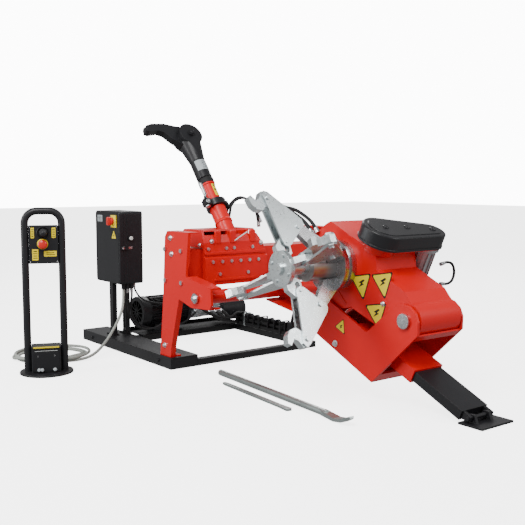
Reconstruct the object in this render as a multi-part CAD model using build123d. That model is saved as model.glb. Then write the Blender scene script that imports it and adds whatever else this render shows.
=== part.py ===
from build123d import *
import os
from math import cos, sin, tan, radians, hypot, pi

# Mobile tyre changer for lorry wheels, in millimetres, +Z up.
# Lengths below are measured from the base frame's front left bottom corner:
# +X runs right along the front beam, +Y runs back along the left beam.
# save() moves everything so that the origin is the centre of the floor bolts.

# Base frame
LEFT_BEAM = (153, 980, 57)
SIDE_BAR = (40, 33)
BASE_RIGHT = 918
BACK_BAR_Y = 710
WALL = 5
FLOOR_HOLE_R = 9
FLOOR_HOLES_X = (76, 898)
FLOOR_HOLES_Y = (60, 690)
ORIGIN = (sum(FLOOR_HOLES_X) / 2, sum(FLOOR_HOLES_Y) / 2, 0)

# Portal: two folded legs, a square rail and the yoke's fold tube
LEG_PLATE = 12
LEFT_LEG_X = 10
RIGHT_LEG_X = 896
RAIL_SIDE = 150
RAIL_Y = 0
RAIL_Z = 505
FOLD_Y = -215
FOLD_Z = 372
FOLD_TUBE_R = 32
FOLD_PIN_R = 15

# Carriage and tool arm
CARRIAGE_X = (130, 500)
CARRIAGE_Y = (-108, 100)
CARRIAGE_Z = (408, 672)
PAD = 9
ARM_X = 336
ARM_TILT_Y = -12
ARM_TILT_Z = 634
ARM_LEAN = 38
OUTER_TUBE_R = 41
INNER_TUBE_R = 35
TILT_PIN_R = 13
HEAD_START = 462

# Yoke unit: u runs up and back along the yoke, w is square to it
UNIT_SLOPE = 24
PIN_Y = -1166
PIN_Z = 361
YOKE_X = (360, 630)
YOKE_PLATE = 12
ARM_BODY_X = (378, 612)
PIVOT_R = 25
SPINDLE_U = 435
SPINDLE_W = 16
HOUSING_R = 190
SLEEVE_X = (400, 566)
LEG_X = (408, 558)
LEG_W = (-221, -181)
FOOT_U = -385
FOOT_W = -195
FOOT_PIN_R = 8

# Chuck
STAR_X = 50
BACK_DISC_X = (300, 322)
DRUM_R = 62
JAW_ANGLES = (65, 155, 245, 335)
JAW_PIVOT = (186, 170)
JAW_DRIVE = (106, 105)
JAW_PLATE = 9
JAW_GAP = 30
JAW_PIN_R = 8
RUN = 0.05

# Standing control post
POST_X = -491
POST_Y = 324
POST_TURN = -22
POST_HEIGHT = 783
POST_WIDTH = 168
POST_TUBE_R = 17

# Control cable
CABLE_R = 7.5
CABLE_COIL = (-340, 640)
CABLE_COIL_R = 172

U = Vector(0, cos(radians(UNIT_SLOPE)), sin(radians(UNIT_SLOPE)))
W = Vector(0, -sin(radians(UNIT_SLOPE)), cos(radians(UNIT_SLOPE)))
PIN = Vector(0, PIN_Y, PIN_Z)
SPINDLE = PIN + U * SPINDLE_U + W * SPINDLE_W


def save(part, name):
    moved = Pos(-ORIGIN[0], -ORIGIN[1], -ORIGIN[2]) * part
    export_step(moved, "parts/" + name + ".step")


def block(x, y, z):
    """Box from three (low, high) pairs."""
    size = (x[1] - x[0], y[1] - y[0], z[1] - z[0])
    middle = ((x[0] + x[1]) / 2, (y[0] + y[1]) / 2, (z[0] + z[1]) / 2)
    return Pos(*middle) * Box(*size)


def rod(start, end, radius):
    """Round bar from one point to another."""
    start = Vector(*start)
    along = Vector(*end) - start
    plane = Plane(origin=start, z_dir=along)
    return plane * Cylinder(radius, along.length, align=(Align.CENTER, Align.CENTER, Align.MIN))


def rod_x(x, y, z, radius):
    return rod((x[0], y, z), (x[1], y, z), radius)


def plate_yz(points, x, plane=Plane.YZ):
    """Plate of a closed outline in a plane whose normal is +X."""
    face = make_face(Polyline(*points, close=True))
    return extrude(plane.offset(x[0]) * face, x[1] - x[0])


UNIT = Plane(origin=(0, PIN_Y, PIN_Z), x_dir=(0, U.Y, U.Z), z_dir=(1, 0, 0))


def unit_point(x, u, w):
    return Vector(x, 0, 0) + PIN + U * u + W * w


def unit_plate(points, x):
    return plate_yz(points, x, UNIT)


def unit_block(x, u, w):
    return unit_plate([(u[0], w[0]), (u[1], w[0]), (u[1], w[1]), (u[0], w[1])], x)


def unit_rod_x(x, u, w, radius):
    return rod(unit_point(x[0], u, w), unit_point(x[1], u, w), radius)


def unit_rod(x, u, w, start, end, radius):
    """Round bar square to the unit's top face, between two heights."""
    return rod(unit_point(x, u, start), unit_point(x, u, end), radius)


def hex_bolt(point, out, radius, head, length=0):
    """Bolt head, with a shank of the given length behind its seat."""
    plane = Plane(origin=Vector(*point), z_dir=Vector(*out))
    part = plane * extrude(RegularPolygon(radius, 6), head)
    if length:
        part += plane * Pos(0, 0, -length / 2) * Cylinder(radius * 0.55, length)
    return part


# ---------------------------------------------------------------- base frame
def hollow_bar(x, y, z, along):
    outer = block(x, y, z)
    grow = 1
    spans = []
    for axis, span in (("x", x), ("y", y), ("z", z)):
        if axis == along:
            spans.append((span[0] - grow, span[1] + grow))
        else:
            spans.append((span[0] + WALL, span[1] - WALL))
    return outer - block(*spans)


def floor_holes(part):
    for x in FLOOR_HOLES_X:
        for y in FLOOR_HOLES_Y:
            part -= rod((x, y, -5), (x, y, LEFT_BEAM[2] + 5), FLOOR_HOLE_R)
    return part


def base_frame():
    width, length, height = LEFT_BEAM
    left = hollow_bar((0, width), (0, length), (0, height), "y")
    left += block((1, width - 1), (0, 6), (1, height - 1))
    left = floor_holes(left)
    left += block((1, width - 1), (length - 6, length), (1, height - 1))
    save(left, "left_beam")
    bar, tall = SIDE_BAR
    right_x = (BASE_RIGHT - bar, BASE_RIGHT)
    right = hollow_bar(right_x, (0, BACK_BAR_Y + bar), (0, tall), "y")
    right += block((right_x[0] + 1, right_x[1] - 1), (0, 5), (1, tall - 1))
    save(floor_holes(right), "right_beam")
    span = (width, right_x[0])
    front = hollow_bar(span, (0, bar), (0, tall), "x")
    back = hollow_bar(span, (BACK_BAR_Y, BACK_BAR_Y + bar), (0, tall), "x")
    save(Compound([front, back]), "cross_beams")


LEG_OUTLINE = [
    (118, 57), (84, 343), (62, 640), (40, 668), (-150, 668), (-128, 500),
    (-124, 462), (-330, 428), (-336, 352), (-322, 330), (-170, 322), (-62, 350),
    (10, 110), (18, 57),
]


def portal_leg(x0, ground, toward):
    """Folded lambda-shaped leg: the branch at its front carries the fold tube."""
    outline = [(y, max(z, ground)) for y, z in LEG_OUTLINE]
    web = plate_yz(outline, (x0, x0 + LEG_PLATE))
    side = x0 + LEG_PLATE if toward > 0 else x0
    low, high = sorted((side, side + 48 * toward))
    shallow = sorted((side, side + 15 * toward))
    front_flange = plate_yz(
        [(10, 110), (18, ground), (24, ground), (16, 112), (-57, 357), (-62, 350)], shallow
    )
    top_flange = plate_yz([(40, 668), (-150, 668), (-150, 662), (40, 662)], (low, high))
    branch_flange = plate_yz([(-124, 462), (-330, 428), (-330, 421), (-124, 455)], (low, high))
    back_flange = plate_yz([(118, ground), (84, 343), (78, 343), (112, ground)], shallow)
    low_flange = plate_yz([(-170, 322), (-322, 330), (-322, 336), (-170, 328)], (low, high))
    foot = block((low, high), (22, 116), (ground, ground + 8))
    leg = web + front_flange + top_flange + branch_flange + back_flange + low_flange + foot
    leg += rod_x((x0 - 2, x0 + LEG_PLATE + 2), FOLD_Y, FOLD_Z, FOLD_PIN_R + 9)
    leg -= rod_x((x0 - 20, x0 + 40), FOLD_Y, FOLD_Z, FOLD_PIN_R)
    return leg


def portal():
    left = portal_leg(LEFT_LEG_X, LEFT_BEAM[2], 1)
    right = portal_leg(RIGHT_LEG_X, SIDE_BAR[1], -1)
    save(left, "left_portal_leg")
    save(right, "right_portal_leg")
    half = RAIL_SIDE / 2
    rail = hollow_bar(
        (LEFT_LEG_X + LEG_PLATE + 10, RIGHT_LEG_X - 10),
        (RAIL_Y - half, RAIL_Y + half),
        (RAIL_Z - half, RAIL_Z + half),
        "x",
    )
    plates = block((LEFT_LEG_X + LEG_PLATE, LEFT_LEG_X + LEG_PLATE + 10), (-100, 70), (415, 595))
    plates += block((RIGHT_LEG_X - 10, RIGHT_LEG_X), (-100, 70), (415, 595))
    save(rail + plates, "slide_rail")
    bolts = []
    for y in (-88, 58):
        for z in (430, 580):
            bolts.append(hex_bolt((LEFT_LEG_X, y, z), (-1, 0, 0), 11, 8))
            bolts.append(hex_bolt((RIGHT_LEG_X + LEG_PLATE, y, z), (1, 0, 0), 11, 8))
    for x, ground in ((46, LEFT_BEAM[2] + 8), (872, SIDE_BAR[1] + 8)):
        bolts.append(hex_bolt((x, 98, ground), (0, 0, 1), 9, 7))
        bolts.append(hex_bolt((x, 40, ground), (0, 0, 1), 9, 7))
    save(Compound(bolts), "portal_bolts")
    pins = []
    for x0, x1, head in ((LEFT_LEG_X - 12, 92, LEFT_LEG_X - 12), (826, 920, 912)):
        pin = rod_x((x0, x1), FOLD_Y, FOLD_Z, FOLD_PIN_R)
        pins.append(pin + rod_x((head, head + 8), FOLD_Y, FOLD_Z, FOLD_PIN_R + 9))
    save(Compound(pins), "fold_pins")


# ------------------------------------------------------- cabinet, power pack
CABINET_X = (44, 184)
CABINET_Y = (600, 885)
CABINET_Z = (348, 742)
DOOR = 26


def cabinet():
    legs = []
    for x in (50, 128):
        post = block((x, x + 26), (700, 712), (65, CABINET_Z[0]))
        post += block((x, x + 6), (700, 738), (65, CABINET_Z[0]))
        foot = block((x - 4, x + 30), (690, 770), (57, 65))
        gusset = plate_yz([(712, 65), (765, 65), (712, 130)], (x + 11, x + 15))
        legs.append(post + foot + gusset)
    save(Compound(legs), "cabinet_legs")
    outer = block((CABINET_X[0] + DOOR + 1, CABINET_X[1]), CABINET_Y, CABINET_Z)
    outer = fillet(outer.edges().filter_by(Axis.X), 14)
    inner = block(
        (CABINET_X[0], CABINET_X[1] - 4),
        (CABINET_Y[0] + 5, CABINET_Y[1] - 5),
        (CABINET_Z[0] + 5, CABINET_Z[1] - 5),
    )
    box = outer - fillet(inner.edges().filter_by(Axis.X), 10)
    for x, y in ((80, 630), (104, 630), (128, 630)):
        box -= rod((x, y, CABINET_Z[0] - 5), (x, y, CABINET_Z[0] + 10), 8)
    shell = block((CABINET_X[0], CABINET_X[0] + DOOR), CABINET_Y, CABINET_Z)
    shell = fillet(shell.edges().filter_by(Axis.X), 14)
    shell = fillet(shell.faces().sort_by(Axis.X)[0].edges(), 9)
    pocket = block(
        (CABINET_X[0] + 4, CABINET_X[0] + DOOR + 2),
        (CABINET_Y[0] + 5, CABINET_Y[1] - 5),
        (CABINET_Z[0] + 5, CABINET_Z[1] - 5),
    )
    door = shell - fillet(pocket.edges().filter_by(Axis.X), 9)
    door -= rod_x((CABINET_X[0] - 5, CABINET_X[0] + 10), 659, 690, 6)
    hinges = []
    for z in (430, 640):
        knuckle = rod((CABINET_X[0] + DOOR, 894, z), (CABINET_X[0] + DOOR, 894, z + 60), 7)
        leaf = block((CABINET_X[0] + DOOR + 1.5, CABINET_X[0] + DOOR + 24), (885.2, 890), (z, z + 60))
        hinges.append(knuckle + leaf)
    save(Compound([box] + hinges), "cabinet_box")
    plate = block((CABINET_X[0] - 4, CABINET_X[0]), (628, 690), (655, 722))
    plate += rod_x((CABINET_X[0] - 9, CABINET_X[0] - 4), 659, 690, 24)
    plate -= rod_x((CABINET_X[0] - 12, CABINET_X[0] + 2), 659, 690, 6)
    save(plate, "switch_plate")
    knob = rod_x((CABINET_X[0] - 24, CABINET_X[0] - 9.5), 659, 690, 20)
    knob += block((CABINET_X[0] - 40, CABINET_X[0] - 18), (652, 666), (668, 712))
    knob += rod_x((CABINET_X[0] - 12, CABINET_X[0] + 3), 659, 690, 5.9)
    save(knob, "switch_knob")
    latch = block((CABINET_X[0] + 10, CABINET_X[0] + 52), (592, 599.6), (536, 556))
    latch += rod((CABINET_X[0] + 18, 599.6, 546), (CABINET_X[0] + 18, 586, 546), 9)
    save(Compound([door, latch]), "cabinet_door")
    button_x, button_z = 112, 598
    ring = rod((button_x, 592, button_z), (button_x, 599.8, button_z), 16)
    ring -= rod((button_x, 590, button_z), (button_x, 601, button_z), 11.2)
    button = rod((button_x, 588, button_z), (button_x, 597, button_z), 11)
    save(fillet(button.faces().sort_by(Axis.Y)[0].edges(), 2.5), "start_button")
    fittings = [ring]
    for x, y in ((80, 630), (104, 630), (128, 630)):
        gland = rod((x, y, 320), (x, y, 340), 11) + rod((x, y, 340), (x, y, 352), 7.9)
        gland += rod((x, y, 340), (x, y, 347.8), 13)
        fittings.append(gland)
    save(Compound(fittings), "cabinet_fittings")


PACK_Y = 778
PACK_Z = 158


def power_pack():
    tray = block((232, 916), (690, 866), (33, 39))
    tray += block((232, 916), (866, 872), (33, 60))
    body = rod_x((252, 540), PACK_Y, PACK_Z, 78)
    body += rod_x((240, 290), PACK_Y, PACK_Z, 86)
    for step in range(16):
        fin = Pos(412, PACK_Y, PACK_Z) * Rot(22.5 * step, 0, 0) * Pos(0, 0, 82) * Box(220, 3, 14)
        body += fin
    body += rod_x((532, 552), PACK_Y, PACK_Z, 92)
    feet = block((320, 500), (PACK_Y - 70, PACK_Y + 70), (39, 47))
    for y in (PACK_Y - 50, PACK_Y + 40):
        feet += block((330, 490), (y, y + 10), (47, 86))
    save(Compound([tray, feet]), "pack_tray")
    terminal = block((370, 460), (PACK_Y - 128, PACK_Y - 97), (PACK_Z - 36, PACK_Z + 40))
    terminal = fillet(terminal.edges().filter_by(Axis.Y), 8)
    save(Compound([body, terminal]), "pack_motor")
    pump = block((552, 640), (PACK_Y - 55, PACK_Y + 55), (PACK_Z - 60, PACK_Z + 62))
    pump += rod((590, PACK_Y - 55, PACK_Z), (590, PACK_Y - 92, PACK_Z), 26)
    valves = block((640, 792), (PACK_Y - 42, PACK_Y + 42), (PACK_Z - 60, PACK_Z + 8))
    for x in (662, 704, 746):
        valves += block((x, x + 30), (PACK_Y - 28, PACK_Y + 28), (PACK_Z + 8, PACK_Z + 30))
        valves += rod((x + 15, PACK_Y, PACK_Z + 30), (x + 15, PACK_Y, PACK_Z + 90), 15)
        valves += rod((x + 15, PACK_Y - 42, PACK_Z - 28), (x + 15, PACK_Y - 66, PACK_Z - 28), 11)
    save(Compound([pump, valves]), "pump_and_valves")
    tank = rod_x((792, 966), PACK_Y, PACK_Z - 36, 70)
    tank = fillet(tank.faces().sort_by(Axis.X)[-1].edges(), 12)
    tank += rod((880, PACK_Y, PACK_Z + 32), (880, PACK_Y, PACK_Z + 56), 18)
    save(tank, "oil_tank")


def hoses():
    """Hose bundle strapped along the right beam, and its straps."""
    bundle = []
    for x, z in ((892, 52), (870, 50), (880, 74), (904, 76), (892, 98)):
        bundle.append(rod((x, 166, z), (x, 696, z), 10.5))
    save(Compound(bundle), "beam_hoses")
    clamps = []
    for y in (230, 430, 640):
        strap = block((853, 921), (y, y + 14), (33.3, 114))
        strap -= block((856, 918), (y - 1, y + 15), (32, 111))
        clamps.append(strap)
    manifold = block((852, 922), (130, 166), (33, 120))
    clamps.append(fillet(manifold.edges().filter_by(Axis.Y), 6))
    save(Compound(clamps), "hose_clamps")


# ------------------------------------------------------------------ carriage
def carriage():
    x0, x1 = CARRIAGE_X
    y0, y1 = CARRIAGE_Y
    z0, z1 = CARRIAGE_Z
    outline = [
        (y0, z0), (y1, z0), (y1, z1 - 16), (y1 - 22, z1), (y0 + 34, z1),
        (y0 + 14, z1 - 60), (y0 + 14, 545), (y0, 538),
    ]
    body = plate_yz(outline, (x0, x1))
    gap = RAIL_SIDE / 2 + PAD
    body -= block((x0 - 5, x1 + 5), (RAIL_Y - gap, RAIL_Y + gap), (RAIL_Z - gap, RAIL_Z + gap))
    body -= block((x0 + 12, x1 - 12), (y0 + 26, y1 - 12), (RAIL_Z + gap - 1, z1 - 8))
    body -= block((ARM_X - 52, ARM_X + 52), (-70, 75), (z1 - 20, z1 + 5))
    corner = make_face(Polyline((x1 - 62, z1 + 1), (x1 + 1, z1 + 1), (x1 + 1, 560), close=True))
    body -= extrude(Plane.XZ.offset(-y1 - 1) * corner, y1 - y0 + 2)
    low = make_face(Polyline((x1 + 1, 455), (x1 + 1, z0 - 1), (x1 - 85, z0 - 1), close=True))
    body -= extrude(Plane.XZ.offset(-y1 - 1) * low, y1 - y0 + 2)
    for x in (ARM_X - 64, ARM_X + 52):
        body += block((x, x + 12), (y0 + 24, y1 - 10), (600, z1 - 6))
    body -= rod_x((ARM_X - 70, ARM_X + 70), ARM_TILT_Y, ARM_TILT_Z, TILT_PIN_R)
    save(body, "carriage_body")
    pads = []
    for x in (x0 + 8, x1 - 158):
        reach = (x, x + 60)
        inner = RAIL_SIDE / 2 + 0.3
        pads.append(block(reach, (RAIL_Y - gap, RAIL_Y - inner), (440, 570)))
        pads.append(block(reach, (RAIL_Y + inner, RAIL_Y + gap), (440, 570)))
        pads.append(block(reach, (-60, 60), (RAIL_Z + inner, RAIL_Z + gap)))
        pads.append(block(reach, (-60, 60), (RAIL_Z - gap, RAIL_Z - inner)))
    save(Compound(pads), "slide_pads")
    bolts = []
    for step in range(6):
        bolts.append(hex_bolt((x0 + 42 + 54 * step, y0, 520), (0, -1, 0), 9, 7))
    for x, z in ((x0 + 82, 460), (x1 - 121, 460)):
        bolts.append(hex_bolt((x, y0, z), (0, -1, 0), 9, 7))
    for x in (x0 + 25, x0 + 129, x0 + 175, x0 + 286):
        bolts.append(hex_bolt((x, y0 + 14, 582), (0, -1, 0), 9, 7))
    save(Compound(bolts), "pad_bolts")
    pin = rod_x((ARM_X - 74, ARM_X + 74), ARM_TILT_Y, ARM_TILT_Z, TILT_PIN_R)
    pin += rod_x((ARM_X - 82, ARM_X - 74), ARM_TILT_Y, ARM_TILT_Z, TILT_PIN_R + 6)
    save(pin, "tilt_pin")


ARM_DIR = Vector(0, sin(radians(ARM_LEAN)), cos(radians(ARM_LEAN)))
ARM = Plane(origin=(ARM_X, ARM_TILT_Y, ARM_TILT_Z), x_dir=(1, 0, 0), z_dir=ARM_DIR)


def arm_bar(radius, start, end):
    """Round bar on the tool arm's axis, between two distances from the tilt pin."""
    upright = (Align.CENTER, Align.CENTER, Align.MIN)
    return ARM * Pos(0, 0, start) * Cylinder(radius, end - start, align=upright)


CLAMP_S = (170, 205)
CLAMP_PIVOT = (-70, -24)


def tool_arm():
    outer = arm_bar(OUTER_TUBE_R, -12, CLAMP_S[1] - 3)
    outer -= arm_bar(INNER_TUBE_R + RUN, 16, CLAMP_S[1] + 5)
    outer -= rod_x((ARM_X - 60, ARM_X + 60), ARM_TILT_Y, ARM_TILT_Z, TILT_PIN_R + RUN)
    clamp = arm_bar(OUTER_TUBE_R + 13, *CLAMP_S)
    middle = sum(CLAMP_S) / 2
    height = CLAMP_S[1] - CLAMP_S[0]
    clamp += ARM * Pos(-68, -24, middle) * Box(36, 34, height)
    clamp += ARM * Pos(56, -6, middle) * Box(24, 18, height)
    clamp -= arm_bar(OUTER_TUBE_R, CLAMP_S[0] - 1, CLAMP_S[1] + 1)
    pivot = ARM * Pos(*CLAMP_PIVOT, middle)
    clamp -= pivot * Cylinder(7, height + 10)
    save(Compound([outer, clamp]), "arm_outer_tube")
    lever = pivot * Cylinder(7 - RUN, height + 12)
    above = height / 2 + 4
    lever += pivot * Pos(0, 0, above) * Cylinder(13, 6)
    lever += pivot * Pos(0, 0, -above) * Cylinder(13, 6)
    lever += pivot * Pos(-12, -22, above) * Rot(0, 0, 61) * Box(56, 13, 6)
    lever += pivot * Pos(-24, -43, above + 32) * Cylinder(9, 66)
    save(lever, "clamp_lever")
    inner = arm_bar(INNER_TUBE_R, 40, 330)
    inner += arm_bar(INNER_TUBE_R + 4, 306, 330)
    inner += arm_bar(26, 330, 350)
    save(inner, "arm_inner_tube")
    collar = arm_bar(40, 350.3, HEAD_START)
    save(fillet(collar.edges().filter_by(GeomType.CIRCLE), 3), "head_collar")
    tool_head()


BEAK_SIDE = [
    (0, 688), (-57, 694), (-122, 708), (-196, 704), (-232, 690), (-244, 656), (-226, 648),
    (-172, 660), (-138, 646), (-104, 604), (-60, 570), (0, 570),
]
HEAD_BOSS_S = 624


def tool_head():
    """Flared socket with flat cheeks, and the mounting beak it carries."""
    rise = HEAD_BOSS_S - HEAD_START
    upright = (Align.CENTER, Align.CENTER, Align.MIN)
    cone = ARM * Pos(0, 0, HEAD_START) * Cone(39, 66, rise, align=upright)
    boss = ARM * Pos(0, 0, HEAD_BOSS_S) * Rot(90, 0, 0) * Cylinder(66, 92)
    cheeks = ARM * Pos(0, 0, HEAD_BOSS_S) * Box(200, 92, 500)
    side = Plane(origin=ARM.origin, x_dir=(1, 0, 0), z_dir=ARM.y_dir * -1)
    beak = side * extrude(make_face(Polyline(*BEAK_SIDE, close=True)), 19, both=True)
    bolt = ARM * Pos(0, 0, HEAD_BOSS_S) * Rot(90, 0, 0) * Cylinder(15, 108)
    save(((cone + boss) & cheeks) + beak + bolt, "tool_head")


# ------------------------------------------------------- yoke and fold tube
YOKE_SIDE = [
    (49, -327), (-82, -18), (-62, 30), (-36, 54), (2, 64), (40, 54), (64, 35),
    (101, -32), (161, -154), (435, -151), (469, -231), (469, -327),
]


def yoke():
    x0, x1 = YOKE_X
    body = unit_plate(YOKE_SIDE, (x0, x0 + YOKE_PLATE))
    body += unit_plate(YOKE_SIDE, (x1 - YOKE_PLATE, x1))
    body += unit_block((x0 + 2, x1 - 2), (49, 469), (-327, -315))
    body += unit_block((x0 + 2, x1 - 2), (457, 469), (-327, -231))
    body += unit_plate([(-79.5, -24), (-66.5, -55), (-59, -52), (-72, -21)], (x0 + 2, x1 - 2))
    body += unit_plate([(26, -273), (49, -327), (62, -327), (39, -273)], (x0 + 2, x1 - 2))
    body -= unit_rod_x((x0 - 5, x1 + 5), 0, 0, PIVOT_R)
    sleeve = unit_block(SLEEVE_X, (-100, 250), (LEG_W[0] - 9, LEG_W[1] + 9))
    for u in (90, 226):
        sleeve += unit_block((x0 + 2, x1 - 2), (u, u + 10), (-322, LEG_W[0] - 4))
    gap = 0.3
    sleeve -= unit_block((LEG_X[0] - gap, LEG_X[1] + gap), (-120, 260), (LEG_W[0] - gap, LEG_W[1] + gap))
    body += sleeve
    for x in (447, 531):
        body += unit_plate([(396, -318), (444, -318), (438, -268), (402, -268)], (x, x + 12))
    body -= unit_rod_x((430, 560), 420, -285, 11)
    save(body, "yoke")
    pin = unit_rod_x((x0 - 4, x1 + 4), 0, 0, PIVOT_R)
    caps = unit_rod_x((x0 - 12, x0 - 0.2), 0, 0, 30) + unit_rod_x((x1 + 0.2, x1 + 12), 0, 0, 30)
    save(pin + caps, "pivot_pin")


def carrier():
    """Fold tube with the channel that carries the yoke."""
    tube = rod_x((74, 844), FOLD_Y, FOLD_Z, FOLD_TUBE_R)
    outline = [(-178, 420), (-178, 322), (-602, 255), (-640, 339)]
    channel = plate_yz(outline, (440, 530))
    inner = [(-170, 410), (-170, 332), (-590, 265), (-622, 330)]
    channel -= plate_yz(inner, (436, 521))
    body = tube + channel
    for span in ((60, 96), (822, 860)):
        body -= rod_x(span, FOLD_Y, FOLD_Z, FOLD_PIN_R + RUN)
    save(body, "fold_carrier")


LUG_SIDE = [(-345, -217), (-345, -183), (-394, -183), (-397, -200), (-385, -208)]


def support_leg():
    beam = unit_block(LEG_X, (-355, 60), LEG_W)
    beam -= unit_block((LEG_X[0] + 6, LEG_X[1] - 6), (-340, 62), (LEG_W[0] + 6, LEG_W[1] - 6))
    for x in (LEG_X[0] + 8, LEG_X[1] - 22):
        beam += unit_plate(LUG_SIDE, (x, x + 14))
    beam -= unit_rod_x((LEG_X[0], LEG_X[1]), FOOT_U, FOOT_W, FOOT_PIN_R)
    pin = unit_rod_x((LEG_X[0] + 2, LEG_X[1] - 2), FOOT_U, FOOT_W, FOOT_PIN_R)
    save(beam + pin, "support_leg")
    pin_at = unit_point(0, FOOT_U, FOOT_W)
    plate = block((402, 588), (pin_at.Y - 76, pin_at.Y + 36), (0, 8))
    for x in (LEG_X[0] + 26, LEG_X[1] - 40):
        top = pin_at.Z + 13
        lug = [(-26, 7), (-13, top), (13, top), (26, 7)]
        plate += plate_yz([(pin_at.Y + y, z) for y, z in lug], (x, x + 14))
    plate -= rod_x((300, 700), pin_at.Y, pin_at.Z, FOOT_PIN_R + RUN)
    save(plate, "foot_plate")


# ------------------------------------------------------------- chuck arm
DRIVEN_PULLEY = (424, 300)
DRIVE_PULLEY = (668, 262)
COVER_W = (190, 255)
TOP = Plane(origin=(0, PIN_Y, PIN_Z), x_dir=(1, 0, 0), z_dir=(0, W.Y, W.Z))


def belt_outline(grow):
    big = Pos(*DRIVEN_PULLEY) * Circle(98 + grow)
    small = Pos(*DRIVE_PULLEY) * Circle(60 + grow)
    return make_hull(big.edges() + small.edges())


def on_top(face, low, high):
    return extrude(TOP.offset(low) * face, high - low)


def arm_housing():
    x = ARM_BODY_X
    side = [
        (0, -70), (-30, 40), (-14, 60), (60, 94), (231, 97), (267, 155),
        (564, 155), (560, -120), (300, -118), (60, -104),
    ]
    round_end = unit_rod_x(x, SPINDLE_U, SPINDLE_W, HOUSING_R)
    body = unit_plate(side, x) & (round_end + unit_block(x, (-60, 440), (-130, 160)))
    body += round_end & unit_block(x, (200, 700), (-300, 155))
    body += unit_rod_x(x, 0, 0, 71)
    body -= unit_rod_x((x[0] - 5, x[1] + 5), 0, 0, PIVOT_R + 6)
    body -= unit_plate([(90, 84), (298, 84), (298, -4), (478, -312), (90, -312)], (456, 536))
    body -= unit_rod_x((398, 590), SPINDLE_U, SPINDLE_W, 122)
    body -= unit_rod_x((370, 620), SPINDLE_U, SPINDLE_W, 40 + RUN)
    body += on_top(Pos(*DRIVEN_PULLEY) * Circle(62), 150, 186)
    body += on_top(belt_outline(-6), 184, 190)
    body -= on_top(Pos(*DRIVEN_PULLEY) * Circle(36), -95, 140)
    body -= on_top(Pos(*DRIVEN_PULLEY) * Circle(15 + RUN), 130, 200)
    body -= on_top(Pos(*DRIVE_PULLEY) * Circle(10 + RUN), 180, 195)
    bush = unit_rod_x((x[0] - 2, x[0] + 60), 0, 0, PIVOT_R + 6)
    bush += unit_rod_x((x[1] - 60, x[1] + 2), 0, 0, PIVOT_R + 6)
    bush -= unit_rod_x((x[0] - 5, x[1] + 5), 0, 0, PIVOT_R + RUN)
    save(bush, "pivot_bushes")
    cap = unit_rod_x((x[1], x[1] + 10), SPINDLE_U, SPINDLE_W, 110)
    cap += unit_rod_x((x[1] + 10, x[1] + 34), SPINDLE_U, SPINDLE_W, 34)
    save(Compound([body, cap]), "chuck_arm")


def belt_drive():
    cover = on_top(belt_outline(0), *COVER_W)
    cover = fillet(cover.faces().sort_by(Axis((0, 0, 0), (0, W.Y, W.Z)))[-1].edges(), 7)
    cover -= on_top(belt_outline(-4), COVER_W[0] - 1, COVER_W[1] - 5)
    save(cover, "belt_cover")
    shaft = on_top(Pos(*DRIVEN_PULLEY) * Circle(15), -80, 236)
    shaft += on_top(Pos(*DRIVEN_PULLEY) * Circle(34), -60, 92)
    shaft += on_top(Pos(*DRIVEN_PULLEY) * Circle(80), 204, 230)
    save(shaft, "worm_shaft")
    pulley = on_top(Pos(*DRIVE_PULLEY) * Circle(10), 186, 236)
    pulley += on_top(Pos(*DRIVE_PULLEY) * Circle(40), 204, 230)
    save(pulley, "drive_pulley")
    motor = on_top(Pos(*DRIVE_PULLEY) * Circle(56), 172, 184)
    motor += on_top(Pos(*DRIVE_PULLEY) * Circle(44), 10, 173)
    motor += on_top(Pos(*DRIVE_PULLEY) * Circle(50), -14, 14)
    for step in range(14):
        turn = Rot(0, 0, 180 / 14 + 360 / 14 * step)
        fin = Pos(*DRIVE_PULLEY) * turn * Pos(46, 0) * Rectangle(7, 3)
        motor += on_top(fin, 24, 160)
    motor -= on_top(Pos(*DRIVE_PULLEY) * Circle(10 + RUN), 120, 190)
    save(motor, "gear_motor")


def lift_cylinder():
    base = (420, -285)
    eye = (265, -20)
    du, dw = eye[0] - base[0], eye[1] - base[1]
    length = hypot(du, dw)

    def along(x, s):
        return unit_point(x, base[0] + du * s / length, base[1] + dw * s / length)

    centre = 495
    barrel = rod(along(centre, 20), along(centre, 272), 30)
    barrel += unit_rod_x((centre - 18, centre + 18), base[0], base[1], 26)
    barrel -= rod(along(centre, 50), along(centre, 290), 16 + RUN)
    barrel += unit_rod_x((centre - 34, centre + 34), base[0], base[1], 11 - RUN)
    save(barrel, "lift_cylinder")
    piston = rod(along(centre, 66), along(centre, length - 10), 16)
    piston += unit_rod_x((centre - 16, centre + 16), eye[0], eye[1], 25)
    piston += unit_rod_x((centre - 32, centre + 32), eye[0], eye[1], 11)
    save(piston, "lift_rod")


# ------------------------------------------------------------------ chuck
def radial_plane(angle):
    """Plane through the spindle: x along +X, y outward along a jaw."""
    out = Vector(0, cos(radians(angle)), sin(radians(angle)))
    side = Vector(1, 0, 0).cross(out)
    return Plane(origin=SPINDLE, x_dir=(1, 0, 0), z_dir=side)


def radial_plate(plane, points, low, high):
    face = make_face(Polyline(*points, close=True))
    return extrude(plane.offset(low) * face, high - low)


def radial_pin(plane, point, low, high, radius):
    return extrude(plane.offset(low) * Pos(*point) * Circle(radius), high - low)


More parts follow.
